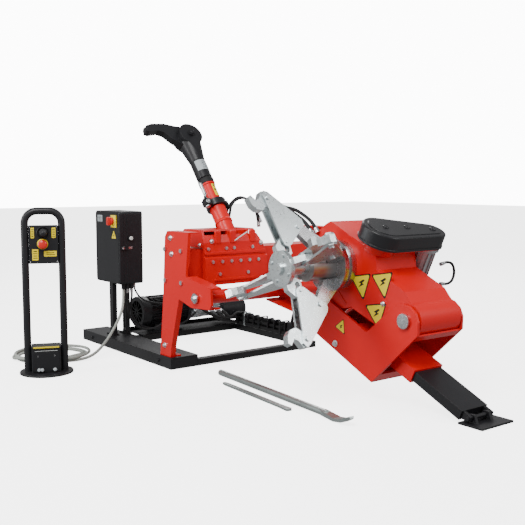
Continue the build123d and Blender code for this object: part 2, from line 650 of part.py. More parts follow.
def spindle():
    x0, x1 = BACK_DISC_X
    u, w = SPINDLE_U, SPINDLE_W
    body = unit_rod_x((x0, x1), u, w, 118) + unit_rod_x((x1, 352), u, w, 92)
    body += unit_rod_x((352, 377.5), u, w, 104)
    body += unit_rod_x((352, 590), u, w, 40)
    body += unit_rod_x((406, 442), u, w, 98)
    for angle in JAW_ANGLES:
        plane = radial_plane(angle)
        tongue = [
            (305, DRUM_R + 0.3), (305, 117), (206, 192), (180, 190), (170, 172), (178, 152), (250, 66),
        ]
        body += radial_plate(plane, tongue, -13, 13)
        body -= radial_pin(plane, JAW_PIVOT, -20, 20, JAW_PIN_R + RUN)
    body -= unit_rod_x((x0 - 5, x0 + 12), u, w, DRUM_R)
    save(body, "chuck_spindle")
    drum = unit_rod_x((180, x0 + 12), u, w, DRUM_R) - unit_rod_x((170, x0 - 4), u, w, 30 + RUN)
    save(drum, "chuck_cylinder")


def star():
    u, w = SPINDLE_U, SPINDLE_W
    body = unit_rod_x((STAR_X, STAR_X + 20), u, w, 74)
    body += unit_rod_x((STAR_X + 20, 250), u, w, 30)
    body += unit_rod_x((STAR_X - 14, STAR_X), u, w, 24)
    slot_mid = (JAW_DRIVE[1] + 4 + JAW_DRIVE[1] - 29) / 2
    for angle in JAW_ANGLES:
        plane = radial_plane(angle)
        lug = [
            (STAR_X + 2, 30), (STAR_X + 2, 96), (86, 130), (126, 130), (126, 58), (94, 40), (94, 26),
        ]
        body += radial_plate(plane, lug, -13, 13)
        slot = Pos(JAW_DRIVE[0], slot_mid) * Rot(0, 0, 90) * SlotOverall(33 + 24, 24)
        body -= extrude(plane.offset(-20) * slot, 40)
        bolt = Vector(0, cos(radians(angle + 45)), sin(radians(angle + 45))) * 56
        body += hex_bolt(SPINDLE + bolt + Vector(STAR_X, 0, 0), (-1, 0, 0), 8, 7)
    save(body, "star_plate")


JAW_SIDE = [
    (46, 318), (58, 334), (78, 328), (214, 204), (222, 186), (214, 168), (190, 150),
    (126, 92), (108, 86), (92, 92), (86, 108), (56, 280),
]
CLAW_SIDE = [
    (76, 334), (48, 334), (32, 304), (14, 294), (-8, 318), (-22, 308), (-12, 274),
    (6, 256), (36, 250), (66, 276),
]


def jaws():
    half = JAW_GAP / 2
    for number, angle in enumerate(JAW_ANGLES):
        plane = radial_plane(angle)
        jaw = radial_plate(plane, JAW_SIDE, half, half + JAW_PLATE)
        jaw += radial_plate(plane, JAW_SIDE, -half - JAW_PLATE, -half)
        for point, radius in ((JAW_PIVOT, JAW_PIN_R), (JAW_DRIVE, 6)):
            jaw += radial_pin(plane, point, -half - JAW_PLATE - 5, half + JAW_PLATE + 5, radius)
        jaw += radial_plate(plane, CLAW_SIDE, -half - 1, half + 1)
        for point in (JAW_PIVOT, (72, 302)):
            jaw += radial_pin(plane, point, half + JAW_PLATE, half + JAW_PLATE + 7, 11)
            jaw += radial_pin(plane, point, -half - JAW_PLATE - 7, -half - JAW_PLATE, 11)
        save(jaw, "chuck_jaw_" + str(number + 1))


# ----------------------------------------------------------- control post
POST = Plane.XY.move(Location((POST_X, POST_Y, 0), (0, 0, POST_TURN)))


def post():
    half = POST_WIDTH / 2
    top = POST_HEIGHT - POST_TUBE_R
    corners = [(-half, 0, 9), (-half, 0, top), (half, 0, top), (half, 0, 9)]
    path = FilletPolyline(*corners, radius=58)
    profile = Plane(origin=(-half, 0, 9), z_dir=(0, 0, 1)) * Circle(POST_TUBE_R)
    hoop = sweep(profile, path=path)
    disc = Cylinder(124, 10, align=(Align.CENTER, Align.CENTER, Align.MIN))
    disc = fillet(disc.faces().sort_by(Axis.Z)[-1].edges(), 4)
    save(POST * (hoop + disc), "post_frame")
    inner = half - POST_TUBE_R - 0.3
    box = block((-inner, inner), (-52, 42), (10.3, 128))
    box = fillet(box.edges().filter_by(Axis.Z), 6)
    box += block((-inner, inner), (-56, 46), (128, 131))
    gland = rod((30, 42, 36), (30, 54, 36), 12) + rod((30, 54, 36), (30, 62, 36), 10)
    save(POST * (box + gland), "post_box")
    panel = block((-inner, inner), (-16, 36), (520, 698))
    panel = fillet(panel.edges().filter_by(Axis.Y), 3)
    panel -= rod((0, -20, 664), (0, 14, 664), 24)
    panel -= rod((-4, -20, 612), (-4, 10, 612), 8)
    base = rod((-4, -26, 612), (-4, -16, 612), 19) - rod((-4, -30, 612), (-4, -10, 612), 8)
    save(POST * Compound([panel, base]), "post_panel")
    button = rod((-4, -30, 612), (-4, 4, 612), 7.9) + rod((-4, -42, 612), (-4, -32, 612), 18)
    button = fillet(button.faces().sort_by(Axis.Y)[0].edges(), 4)
    save(POST * button, "stop_button")
    ring = rod((0, -9, 664), (0, 3, 664), 22.4)
    ring -= rod((0, -12, 664), (0, 6, 664), 17)
    for x in ((-23.7, -16.5), (16.5, 23.7)):
        ring += rod_x(x, -3, 664, 2.5)
    save(POST * ring, "joystick_ring")
    stick = rod((0, -3, 664), (0, -62, 664), 5) + Pos(0, -66, 664) * Sphere(11)
    stick += Pos(0, -3, 664) * Sphere(10) + rod((0, -3, 650), (0, -3, 678), 2.4)
    boot = rod((0, -26, 664), (0, -20, 664), 20)
    save(POST * (stick + boot), "joystick")


# ------------------------------------------------------------ hand levers
LEVER_FROM = (131, -225)
LEVER_TO = (63, -1190)
FLAT_FROM = (50, -376)
FLAT_TO = (13, -888)


def floor_plane(start, end):
    """Plane on the floor: x along the lever, z up."""
    along = (end[0] - start[0], end[1] - start[1], 0)
    return Plane(origin=(start[0], start[1], 0), x_dir=along, z_dir=(0, 0, 1))


def levers():
    plane = floor_plane(LEVER_FROM, LEVER_TO)
    length = hypot(LEVER_TO[0] - LEVER_FROM[0], LEVER_TO[1] - LEVER_FROM[1])
    bar = rod((6, 0, 14), (length - 150, 0, 14), 14)
    upright = Plane(origin=(0, 0, 0), x_dir=(1, 0, 0), z_dir=(0, -1, 0))
    side = [
        (length - 175, 4), (length - 90, 1), (length - 44, 8), (length, 32), (length - 4, 40),
        (length - 48, 20), (length - 90, 14), (length - 175, 25),
    ]
    spoon = extrude(upright * make_face(Polyline(*side, close=True)), 21, both=True)
    edge = [(length - 180, 13), (length - 95, 20), (length - 20, 20), (length + 1, 8)]
    mirrored = [(x, -y) for x, y in reversed(edge)]
    tip = make_face(Polyline(*edge, *mirrored, close=True))
    spoon &= extrude(tip, 60)
    save(plane * (bar + spoon), "bead_lever")
    plane = floor_plane(FLAT_FROM, FLAT_TO)
    length = hypot(FLAT_TO[0] - FLAT_FROM[0], FLAT_TO[1] - FLAT_FROM[1])
    edge = [(0, 7), (30, 11), (length - 60, 11), (length - 8, 14), (length, 8)]
    mirrored = [(x, -y) for x, y in reversed(edge)]
    outline = make_face(Polyline(*edge, *mirrored, close=True))
    save(plane * extrude(outline, 9), "flat_lever")


# ---------------------------------------------------------- control cable
CABINET_ROUTE = [
    (80, 630, 320), (80, 630, 268), (62, 616, 200), (-8, 566, 128), (-96, 500, 66),
    (-196, 440, 20), (-276, 446, 7.5), (-352, 470, 7.5),
]


POST_ROUTE = [(30, 62, 36), (30, 96, 36), (38, 130, 24), (58, 168, 10)]


def post_route():
    """The cable's way from the post's gland to the coil, turned with the post."""
    return [tuple(POST.from_local_coords(Vector(*spot))) for spot in POST_ROUTE]


def cord_tube(route):
    """Straight runs joined by arcs as large as the runs allow."""
    points = [Vector(*point) for point in route]
    radii = []
    for before, here, after in zip(points, points[1:], points[2:]):
        turn = radians((here - before).get_angle(after - here))
        shorter = min((here - before).length, (after - here).length)
        radii.append(0.45 * shorter / tan(turn / 2))
    print("cord radii", [round(radius) for radius in radii])
    path = FilletPolyline(*route, radius=radii)
    profile = Plane(origin=points[0], z_dir=points[1] - points[0]) * Circle(CABLE_R)
    tube = sweep(profile, path=path)
    print("tube volume over section times length", tube.volume / (pi * CABLE_R ** 2 * path.length))
    return tube


def control_cable():
    tubes = [cord_tube(CABINET_ROUTE), cord_tube(post_route())]
    save(Compound(tubes), "control_cable")
    ring = Cylinder(CABLE_COIL_R + 20, 31, align=(Align.CENTER, Align.CENTER, Align.MIN))
    ring -= Cylinder(CABLE_COIL_R - 20, 40, align=(Align.CENTER, Align.CENTER, Align.MIN))
    save(Pos(CABLE_COIL[0], CABLE_COIL[1], 0) * ring, "cable_coil")


if __name__ == "__main__":
    os.makedirs("parts", exist_ok=True)
    base_frame()
    portal()
    cabinet()
    power_pack()
    hoses()
    carriage()
    tool_arm()
    yoke()
    carrier()
    support_leg()
    arm_housing()
    belt_drive()
    lift_cylinder()
    spindle()
    star()
    jaws()
    post()
    levers()
    control_cable()
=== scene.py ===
import math

import bmesh
import bpy
from mathutils import Matrix, Vector


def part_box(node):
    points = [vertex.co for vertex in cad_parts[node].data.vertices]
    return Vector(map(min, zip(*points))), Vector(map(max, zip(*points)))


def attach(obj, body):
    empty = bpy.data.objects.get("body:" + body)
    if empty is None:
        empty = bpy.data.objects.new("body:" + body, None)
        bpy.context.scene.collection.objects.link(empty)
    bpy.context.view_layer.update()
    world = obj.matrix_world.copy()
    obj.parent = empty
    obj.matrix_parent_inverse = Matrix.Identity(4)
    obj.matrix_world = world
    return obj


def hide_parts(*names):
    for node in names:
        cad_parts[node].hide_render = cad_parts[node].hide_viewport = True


# Looks of the mobile tyre changer. Lengths are millimetres from the base frame's
# front left bottom corner, +X right along the front beam, +Y back, +Z up.
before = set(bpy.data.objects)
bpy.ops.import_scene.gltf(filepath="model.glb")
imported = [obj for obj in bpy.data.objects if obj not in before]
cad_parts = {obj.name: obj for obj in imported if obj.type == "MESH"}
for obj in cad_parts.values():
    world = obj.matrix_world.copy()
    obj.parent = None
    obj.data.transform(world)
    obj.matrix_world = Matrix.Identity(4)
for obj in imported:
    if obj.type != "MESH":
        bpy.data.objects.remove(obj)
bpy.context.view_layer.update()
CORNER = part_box("left_beam")[0]
MM = 0.001


def at(x, y, z):
    """Point of the row frame, in metres, for millimetres from the base's corner."""
    return CORNER + Vector((x, y, z)) * MM


# ------------------------------------------------------------------ frames
class Place:
    """A local frame: origin and axes, with points given in millimetres."""

    def __init__(self, origin, x_axis, y_axis):
        self.origin = origin
        self.x = Vector(x_axis).normalized()
        self.y = Vector(y_axis).normalized()
        self.z = self.x.cross(self.y)

    def point(self, x, y, z=0):
        return self.origin + (self.x * x + self.y * y + self.z * z) * MM

    def moved(self, x, y, z=0):
        return Place(self.point(x, y, z), self.x, self.y)


def turned(place, degrees):
    """The same frame turned about its z axis."""
    c, s = math.cos(math.radians(degrees)), math.sin(math.radians(degrees))
    return Place(place.origin, place.x * c + place.y * s, place.y * c - place.x * s)


UNIT_SLOPE = math.radians(24)
PIN_Y = -1166
PIN_Z = 361
ALONG = Vector((0, math.cos(UNIT_SLOPE), math.sin(UNIT_SLOPE)))
ABOVE = Vector((0, -math.sin(UNIT_SLOPE), math.cos(UNIT_SLOPE)))
SPINDLE_U = 435
SPINDLE_W = 16


def unit(x, u, w):
    """Point of the tilted unit: u up and back along the yoke, w square to it."""
    return at(x, PIN_Y, PIN_Z) + (ALONG * u + ABOVE * w) * MM


ARM_LEAN = math.radians(38)
ARM_DIR = Vector((0, math.sin(ARM_LEAN), math.cos(ARM_LEAN)))
ARM_FRONT = Vector((0, math.cos(ARM_LEAN), -math.sin(ARM_LEAN)))
ARM = Place(at(336, -12, 634), (1, 0, 0), ARM_FRONT)

POST_TURN = math.radians(-22)
POST_X_AXIS = Vector((math.cos(POST_TURN), math.sin(POST_TURN), 0))
POST_Y_AXIS = Vector((-math.sin(POST_TURN), math.cos(POST_TURN), 0))
POST = Place(at(-491, 324, 0), POST_X_AXIS, POST_Y_AXIS)


# --------------------------------------------------------------- materials
def node_of(tree, kind, **values):
    made = tree.nodes.new(kind)
    for name, value in values.items():
        made.inputs[name].default_value = value
    return made


def surface(name, colour, rough, metal=0.0, vary=0.1, grain=60.0, bump=0.05, coat=0.0,
            bevel=1.2, stretch=(1, 1, 1), second=None):
    """Shaded surface with cloudy colour, uneven gloss, fine grain and rounded edges.

    second is (colour, direction, distance in metres): past that distance along the
    direction the surface has the second colour."""
    made = bpy.data.materials.new(name)
    made.use_nodes = True
    tree = made.node_tree
    shader = tree.nodes["Principled BSDF"]
    shader.inputs["Metallic"].default_value = metal
    shader.inputs["Coat Weight"].default_value = coat
    shader.inputs["Coat Roughness"].default_value = 0.12
    shader.inputs["Specular IOR Level"].default_value = 0.32
    place = tree.nodes.new("ShaderNodeTexCoord")
    stretched = node_of(tree, "ShaderNodeMapping", Scale=stretch)
    tree.links.new(place.outputs["Object"], stretched.inputs["Vector"])
    clouds = node_of(tree, "ShaderNodeTexNoise", Scale=7.0, Detail=6.0, Roughness=0.6)
    fine = node_of(tree, "ShaderNodeTexNoise", Scale=grain, Detail=5.0, Roughness=0.65)
    for texture in (clouds, fine):
        tree.links.new(stretched.outputs["Vector"], texture.inputs["Vector"])
    tint = tree.nodes.new("ShaderNodeMix")
    tint.data_type = "RGBA"
    dark = [c * (1 - vary) for c in colour]
    light = [min(1.0, c * (1 + vary)) for c in colour]
    tint.inputs["A"].default_value = (*dark, 1)
    tint.inputs["B"].default_value = (*light, 1)
    tree.links.new(clouds.outputs["Fac"], tint.inputs["Factor"])
    result = tint.outputs["Result"]
    if second:
        result = split_colour(tree, place, result, second)
    tree.links.new(result, shader.inputs["Base Color"])
    gloss = node_of(tree, "ShaderNodeMapRange")
    gloss.inputs["From Min"].default_value = 0.3
    gloss.inputs["From Max"].default_value = 0.7
    gloss.inputs["To Min"].default_value = rough * 0.8
    gloss.inputs["To Max"].default_value = min(1.0, rough * 1.25)
    tree.links.new(fine.outputs["Fac"], gloss.inputs["Value"])
    tree.links.new(gloss.outputs["Result"], shader.inputs["Roughness"])
    edges = node_of(tree, "ShaderNodeBevel", Radius=bevel * MM)
    edges.samples = 4
    relief = node_of(tree, "ShaderNodeBump", Strength=bump, Distance=0.002)
    tree.links.new(fine.outputs["Fac"], relief.inputs["Height"])
    tree.links.new(edges.outputs["Normal"], relief.inputs["Normal"])
    tree.links.new(relief.outputs["Normal"], shader.inputs["Normal"])
    return made


def split_colour(tree, place, result, second):
    """A second colour past a distance along a direction."""
    colour, direction, distance = second
    along = tree.nodes.new("ShaderNodeVectorMath")
    along.operation = "DOT_PRODUCT"
    along.inputs[1].default_value = direction
    tree.links.new(place.outputs["Object"], along.inputs[0])
    past = tree.nodes.new("ShaderNodeMath")
    past.operation = "GREATER_THAN"
    past.inputs[1].default_value = distance
    tree.links.new(along.outputs["Value"], past.inputs[0])
    mix = tree.nodes.new("ShaderNodeMix")
    mix.data_type = "RGBA"
    mix.inputs["B"].default_value = (*colour, 1)
    tree.links.new(past.outputs["Value"], mix.inputs["Factor"])
    tree.links.new(result, mix.inputs["A"])
    return mix.outputs["Result"]


RED = (0.68, 0.0015, 0.002)
BLACK = (0.011, 0.011, 0.013)
ZINC = (0.66, 0.71, 0.72)
STEEL = (0.55, 0.55, 0.56)
YELLOW = (0.88, 0.68, 0.02)
CLAMP_STARTS = ARM.origin.dot(ARM_DIR) + 168 * MM

red = surface("red_paint", RED, 0.4, vary=0.08, grain=180, bump=0.03, coat=0.15, bevel=2)
black = surface("black_paint", BLACK, 0.42, vary=0.3, grain=420, bump=0.12, coat=0.06, bevel=2)
zinc = surface("zinc", ZINC, 0.3, metal=1.0, vary=0.14, grain=90, bump=0.05)
steel = surface("bright_steel", STEEL, 0.26, metal=1.0, vary=0.12, grain=70, stretch=(12, 1, 1))
drum_steel = surface("drum_steel", (0.46, 0.43, 0.42), 0.34, metal=1.0, vary=0.25, stretch=(1, 6, 6))
casting = surface("drive_casting", (0.42, 0.44, 0.45), 0.5, metal=0.9, vary=0.25, grain=240, bump=0.3)
valve = surface("valve_metal", (0.5, 0.53, 0.55), 0.38, metal=0.95, vary=0.2, grain=120, bump=0.1)
bronze = surface("bronze", (0.5, 0.32, 0.1), 0.3, metal=1.0)
nylon = surface("nylon", (0.7, 0.67, 0.58), 0.5)
plastic = surface("black_plastic", (0.014, 0.014, 0.016), 0.32, vary=0.2, grain=300, bump=0.06, bevel=2)
rubber = surface("hose_rubber", (0.012, 0.012, 0.013), 0.62, vary=0.3, grain=500, bump=0.35)
red_plastic = surface("red_plastic", (0.62, 0.02, 0.012), 0.25, coat=0.4, grain=200)
yellow = surface("yellow_plastic", YELLOW, 0.4, grain=150, vary=0.07)
white = surface("white_plastic", (0.7, 0.7, 0.67), 0.35, grain=150)
sheath = surface("cable_sheath", (0.36, 0.38, 0.35), 0.5, vary=0.12, grain=150, bump=0.1)
lever_steel = surface("lever_steel", (0.44, 0.49, 0.48), 0.33, metal=0.95, vary=0.28, grain=130, bump=0.14)
label_grey = surface("label_grey", (0.42, 0.46, 0.48), 0.4, vary=0.08, grain=130)
brown_black = surface("claw_black", (0.03, 0.03, 0.032), 0.4, metal=0.5, vary=0.3, grain=200, bump=0.2)
arm_paint = surface("arm_paint", RED, 0.38, vary=0.08, grain=180, bump=0.03, coat=0.15,
                    second=(BLACK, ARM_DIR, CLAMP_STARTS))

LOOKS = {
    red: "left_portal_leg right_portal_leg slide_rail carriage_body arm_inner_tube yoke "
         "chuck_arm fold_carrier",
    arm_paint: "arm_outer_tube",
    black: "left_beam right_beam cross_beams cabinet_legs cabinet_box cabinet_door pack_tray "
           "pack_motor oil_tank hose_clamps head_collar tool_head post_frame post_box "
           "post_panel support_leg foot_plate",
    zinc: "portal_bolts pad_bolts chuck_jaw_1 chuck_jaw_2 chuck_jaw_3 chuck_jaw_4 star_plate "
          "clamp_lever",
    steel: "fold_pins tilt_pin pivot_pin chuck_spindle lift_cylinder lift_rod worm_shaft "
           "drive_pulley",
    drum_steel: "chuck_cylinder",
    casting: "gear_motor",
    valve: "pump_and_valves",
    bronze: "pivot_bushes",
    nylon: "slide_pads",
    plastic: "belt_cover cabinet_fittings joystick_ring joystick",
    red_plastic: "switch_knob stop_button",
    yellow: "switch_plate",
    white: "start_button",
    rubber: "beam_hoses",
    sheath: "control_cable cable_coil",
    lever_steel: "bead_lever flat_lever",
}


def paint_nodes():
    for look, names in LOOKS.items():
        for name in names.split():
            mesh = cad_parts[name].data
            mesh.materials.clear()
            mesh.materials.append(look)


# ---------------------------------------------------------------- geometry
def add(name, build, look, body, smooth=40):
    """Object of a bmesh that build fills, shaded smooth below an angle."""
    shape = bmesh.new()
    build(shape)
    bmesh.ops.recalc_face_normals(shape, faces=shape.faces)
    mesh = bpy.data.meshes.new(name)
    shape.to_mesh(mesh)
    shape.free()
    mesh.materials.append(look)
    made = bpy.data.objects.new(name, mesh)
    bpy.context.scene.collection.objects.link(made)
    mesh.shade_smooth()
    mesh.set_sharp_from_angle(angle=math.radians(smooth))
    if body:
        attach(made, body)
    return made


def prism(shape, place, outline, low, high, chamfer=0.0):
    """Plate of an outline in a place's x and y, from z low to high, with chamfered top."""
    rings = [(low, 0.0), (high - chamfer, 0.0)]
    if chamfer:
        rings.append((high, chamfer))
    middle = Vector((sum(x for x, y in outline), sum(y for x, y in outline))) / len(outline)
    loops = []
    for z, shrink in rings:
        loop = []
        for x, y in outline:
            inward = middle - Vector((x, y))
            step = inward.normalized() * min(shrink, inward.length)
            loop.append(shape.verts.new(place.point(x + step.x, y + step.y, z)))
        loops.append(loop)
    for lower, upper in zip(loops, loops[1:]):
        for i in range(len(outline)):
            j = (i + 1) % len(outline)
            shape.faces.new((lower[i], lower[j], upper[j], upper[i]))
    shape.faces.new(loops[0][::-1])
    shape.faces.new(loops[-1])


def circle(radius, x=0.0, y=0.0, sides=32, start=0.0, sweep=360.0):
    step = sweep / sides
    ends = 0 if sweep >= 360 else 1
    angles = [math.radians(start + step * i) for i in range(sides + ends)]
    return [(x + radius * math.cos(a), y + radius * math.sin(a)) for a in angles]


def rounded(width, height, radius, x=0.0, y=0.0):
    """Outline of a rectangle with round corners."""
    points = []
    for quarter, (sx, sy) in enumerate(((1, 1), (-1, 1), (-1, -1), (1, -1))):
        cx, cy = x + sx * (width / 2 - radius), y + sy * (height / 2 - radius)
        points += circle(radius, cx, cy, 5, quarter * 90, 90)
    return points


def lathe(shape, place, profile, sides=32):
    """Solid of revolution about the place's z: profile is a list of (radius, z)."""
    loops = []
    for radius, z in profile:
        ring = circle(max(radius, 0.01), sides=sides)
        loops.append([shape.verts.new(place.point(x, y, z)) for x, y in ring])
    for lower, upper in zip(loops, loops[1:]):
        for i in range(sides):
            j = (i + 1) % sides
            shape.faces.new((lower[i], lower[j], upper[j], upper[i]))
    shape.faces.new(loops[0][::-1])
    shape.faces.new(loops[-1])


def sweep(shape, points, radius, sides=12):
    """Round tube through points in metres, with closed ends."""
    loops = []
    side = None
    for i, here in enumerate(points):
        ahead = points[min(i + 1, len(points) - 1)] - points[max(i - 1, 0)]
        ahead.normalize()
        if side is None:
            side = ahead.orthogonal().normalized()
        side = (side - ahead * side.dot(ahead)).normalized()
        across = ahead.cross(side)
        loop = []
        for x, y in circle(radius * MM, sides=sides):
            loop.append(shape.verts.new(here + side * x + across * y))
        loops.append(loop)
    for lower, upper in zip(loops, loops[1:]):
        for i in range(sides):
            j = (i + 1) % sides
            shape.faces.new((lower[i], lower[j], upper[j], upper[i]))
    shape.faces.new(loops[0][::-1])
    shape.faces.new(loops[-1])


def smooth_path(points, per_span=10):
    """Catmull-Rom line through points, in metres."""
    ends = [points[0] * 2 - points[1], *points, points[-1] * 2 - points[-2]]
    line = []
    for a, b, c, d in zip(ends, ends[1:], ends[2:], ends[3:]):
        for step in range(per_span):
            t = step / per_span
            line.append(((b * 2) + (c - a) * t + (a * 2 - b * 5 + c * 4 - d) * t * t
                         + (b * 3 - a - c * 3 + d) * t ** 3) / 2)
    line.append(points[-1])
    return line


def hose(name, points, radius, look, body, ends=True):
    """Fixed hose or cable between two fittings, with a ferrule at each end."""
    line = smooth_path([Vector(p) for p in points])

    def build(shape):
        sweep(shape, line, radius)

    made = add(name, build, look, body, 60)
    if ends:
        add_ferrules(name, line, radius, body)
    return made


def add_ferrules(name, line, radius, body):
    def build(shape):
        for first, second in ((line[0], line[2]), (line[-1], line[-3])):
            along = (second - first).normalized()
            x_axis = along.orthogonal()
            place = Place(first, x_axis, along.cross(x_axis))
            profile = [(radius * 1.1, -2), (radius * 1.45, -1), (radius * 1.45, 12),
                       (radius * 1.25, 14), (radius * 1.25, 24), (radius * 1.05, 26)]
            lathe(shape, place, profile, 14)

    add(name + "_ferrules", build, steel, body, 30)


def hex_head(shape, place, radius, height):
    """Chamfered hexagonal head on a washer, standing on the place's z."""
    lathe(shape, place, [(radius * 1.35, 0), (radius * 1.35, height * 0.22)], 24)
    place = place.moved(0, 0, height * 0.22)
    prism(shape, place, circle(radius, sides=6), 0, height, radius * 0.12)
    lathe(shape, place.moved(0, 0, height), [(radius * 0.6, 0), (radius * 0.55, height * 0.18)], 16)


def on_side(point, out, up=(0, 0, 1)):
    """Frame at a point whose z is the outward normal."""
    out = Vector(out).normalized()
    x_axis = Vector(up).cross(out)
    return Place(point, x_axis, out.cross(x_axis))


# ------------------------------------------------------- camera and studio
def camera():
    made = bpy.data.objects.new("Camera", bpy.data.cameras.new("Camera"))
    bpy.context.scene.collection.objects.link(made)
    made.location = (-2.45086, -3.68599, 0.9)
    made.rotation_euler = (math.radians(90 - 5.6756), 0, math.radians(-37.229))
    made.data.lens = 55.54
    made.data.sensor_width = 36
    made.data.clip_end = 60
    bpy.context.scene.camera = made


def light(name, spot, target, size, power, colour=(1, 1, 1)):
    lamp = bpy.data.lights.new(name, "AREA")
    lamp.shape = "RECTANGLE"
    lamp.size, lamp.size_y = size
    lamp.energy = power
    lamp.color = colour
    made = bpy.data.objects.new(name, lamp)
    bpy.context.scene.collection.objects.link(made)
    made.location = spot
    made.rotation_euler = (Vector(target) - Vector(spot)).to_track_quat("-Z", "Y").to_euler()


AMBIENT = 0.42
BACKDROP = 12.0
FLOOR_GLOW = 3.6


def studio():
    shape = bmesh.new()
    bmesh.ops.create_grid(shape, x_segments=1, y_segments=1, size=24)
    mesh = bpy.data.meshes.new("floor")
    shape.to_mesh(mesh)
    shape.free()
    floor = bpy.data.objects.new("floor", mesh)
    bpy.context.scene.collection.objects.link(floor)
    floor.location.z = -0.0005
    pale = surface("studio_floor", (0.95, 0.95, 0.95), 0.6, vary=0.01, bump=0.0)
    glow = pale.node_tree.nodes["Principled BSDF"]
    glow.inputs["Emission Color"].default_value = (1, 1, 1, 1)
    glow.inputs["Emission Strength"].default_value = FLOOR_GLOW
    mesh.materials.append(pale)
    floor.visible_diffuse = False
    floor.visible_glossy = False
    world = bpy.data.worlds.new("studio")
    world.use_nodes = True
    tree = world.node_tree
    rays = tree.nodes.new("ShaderNodeLightPath")
    strength = tree.nodes.new("ShaderNodeMapRange")
    strength.inputs["To Min"].default_value = AMBIENT
    strength.inputs["To Max"].default_value = BACKDROP
    tree.links.new(rays.outputs["Is Camera Ray"], strength.inputs["Value"])
    tree.nodes["Background"].inputs["Color"].default_value = (1, 1, 1, 1)
    tree.links.new(strength.outputs["Result"], tree.nodes["Background"].inputs["Strength"])
    bpy.context.scene.world = world
    light("key", (-2.6, -2.2, 3.6), (0, -0.5, 0.4), (2.2, 2.2), 185)
    light("front", (1.6, -4.6, 2.6), (0, -0.6, 0.4), (2.4, 1.6), 74)
    light("rim", (2.4, 2.6, 3.2), (0, -0.2, 0.4), (2.6, 1.4), 90)
    light("left_strip", (-3.4, 0.6, 1.5), (0, -0.4, 0.5), (0.7, 2.4), 60)


# ------------------------------------------------------------ control cord
CABLE_R = 7.5
CABINET_ROUTE = [
    (80, 630, 320), (80, 630, 268), (62, 616, 200), (-8, 566, 128), (-96, 500, 66),
    (-196, 440, 20), (-276, 446, 7.5), (-352, 470, 7.5),
]
COIL_MIDDLE = (-340, 640)
TURN_PLAN = [
    (94, 170, 7.5), (130, 167, 7.5), (350, 166, 7.5), (390, 164, 14), (420, 163, 23),
    (460, 163, 23), (520, 184, 23), (560, 185, 8), (730, 184, 7.5), (780, 180, 23),
    (820, 179, 23), (860, 176, 23), (1020, 176, 23), (1080, 197, 23), (1145, 199, 23),
]
POST_ROUTE = [(30, 62, 36), (30, 96, 36), (38, 128, 30), (62, 158, 24), (104, 176, 22), (146, 188, 23)]
COIL_STEP = 15


def coil_points():
    """The coil's turns: radius and height follow the turn plan, angle by angle."""
    points = []
    for (start, r0, z0), (end, r1, z1) in zip(TURN_PLAN, TURN_PLAN[1:]):
        steps = round((end - start) / COIL_STEP)
        for step in range(1, steps + 1):
            t = step / steps
            t = t * t * (3 - 2 * t)
            angle = math.radians(-(start + (end - start) * step / steps))
            r = r0 + (r1 - r0) * t
            points.append((COIL_MIDDLE[0] + r * math.cos(angle),
                           COIL_MIDDLE[1] + r * math.sin(angle), z0 + (z1 - z0) * t))
    return points


def nurbs(name, points, radius, look, body):
    """Smooth round cord with the points as its control points."""
    curve = bpy.data.curves.new(name, "CURVE")
    curve.dimensions = "3D"
    spline = curve.splines.new("NURBS")
    spline.points.add(len(points) - 1)
    for spot, point in zip(spline.points, points):
        spot.co = (*point, 1)
    spline.order_u = 3
    spline.use_endpoint_u = True
    spline.resolution_u = 6
    curve.bevel_depth = radius * MM
    curve.bevel_resolution = 4
    curve.use_fill_caps = True
    curve.materials.append(look)
    made = bpy.data.objects.new(name, curve)
    bpy.context.scene.collection.objects.link(made)
    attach(made, body)
    return made


def control_cord():
    route = [at(*p) for p in CABINET_ROUTE]
    route += [at(*p) for p in coil_points()]
    route += [POST.point(*p) for p in reversed(POST_ROUTE)]
    cord = nurbs("control_cord", route, CABLE_R, sheath, "base")
    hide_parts("control_cable", "cable_coil")
    length = sum((b - a).length for a, b in zip(route, route[1:]))
    print("cord control points length", round(length, 3))


# ------------------------------------------------------------ small pieces
def bolts(name, spots, radius, height, look, body):
    """Hexagonal heads with washers: spots are (point, outward direction)."""
    def build(shape):
        for point, out in spots:
            hex_head(shape, on_side(point, out), radius, height)

    return add(name, build, look, body, 25)


def socket_screws(name, spots, radius, body):
    """Domed socket screws with a sunk hexagon."""
    def build(shape):
        for point, out in spots:
            place = on_side(point, out)
            profile = [(radius, -0.5), (radius, radius * 0.35), (radius * 0.8, radius * 0.7),
                       (radius * 0.5, radius * 0.8), (radius * 0.42, radius * 0.3), (0, radius * 0.3)]
            lathe(shape, place, profile, 20)

    return add(name, build, steel, body, 30)


def triangle(radius, turn=90, x=0.0, y=0.0):
    """Triangle with slightly round corners."""
    points = []
    for corner in range(3):
        angle = math.radians(turn + 120 * corner)
        cx, cy = x + radius * 0.9 * math.cos(angle), y + radius * 0.9 * math.sin(angle)
        points += circle(radius * 0.1, cx, cy, 4, turn + 120 * corner - 60, 120)
    return points


BOLT_SIGN = [(1, 7), (-5, -1), (-0.5, -0.5), (-3, -8), (5, 1.5), (0.8, 1), (4, 7)]


def warning(name, place, radius, body, turn=90, sign=True):
    """Yellow warning triangle with a dark rim and a wordless sign."""
    thin = 0.5
    add(name + "_edge", lambda s: prism(s, place, triangle(radius, turn), 0.05, thin), black_ink,
        body)
    add(name, lambda s: prism(s, place, triangle(radius * 0.86, turn), thin, thin * 1.6), yellow,
        body)
    if sign:
        scale = radius / 22
        mark = [(x * scale, y * scale) for x, y in BOLT_SIGN]
        add(name + "_sign", lambda s: prism(s, place, mark, thin * 1.6, thin * 2.2), black_ink,
            body)


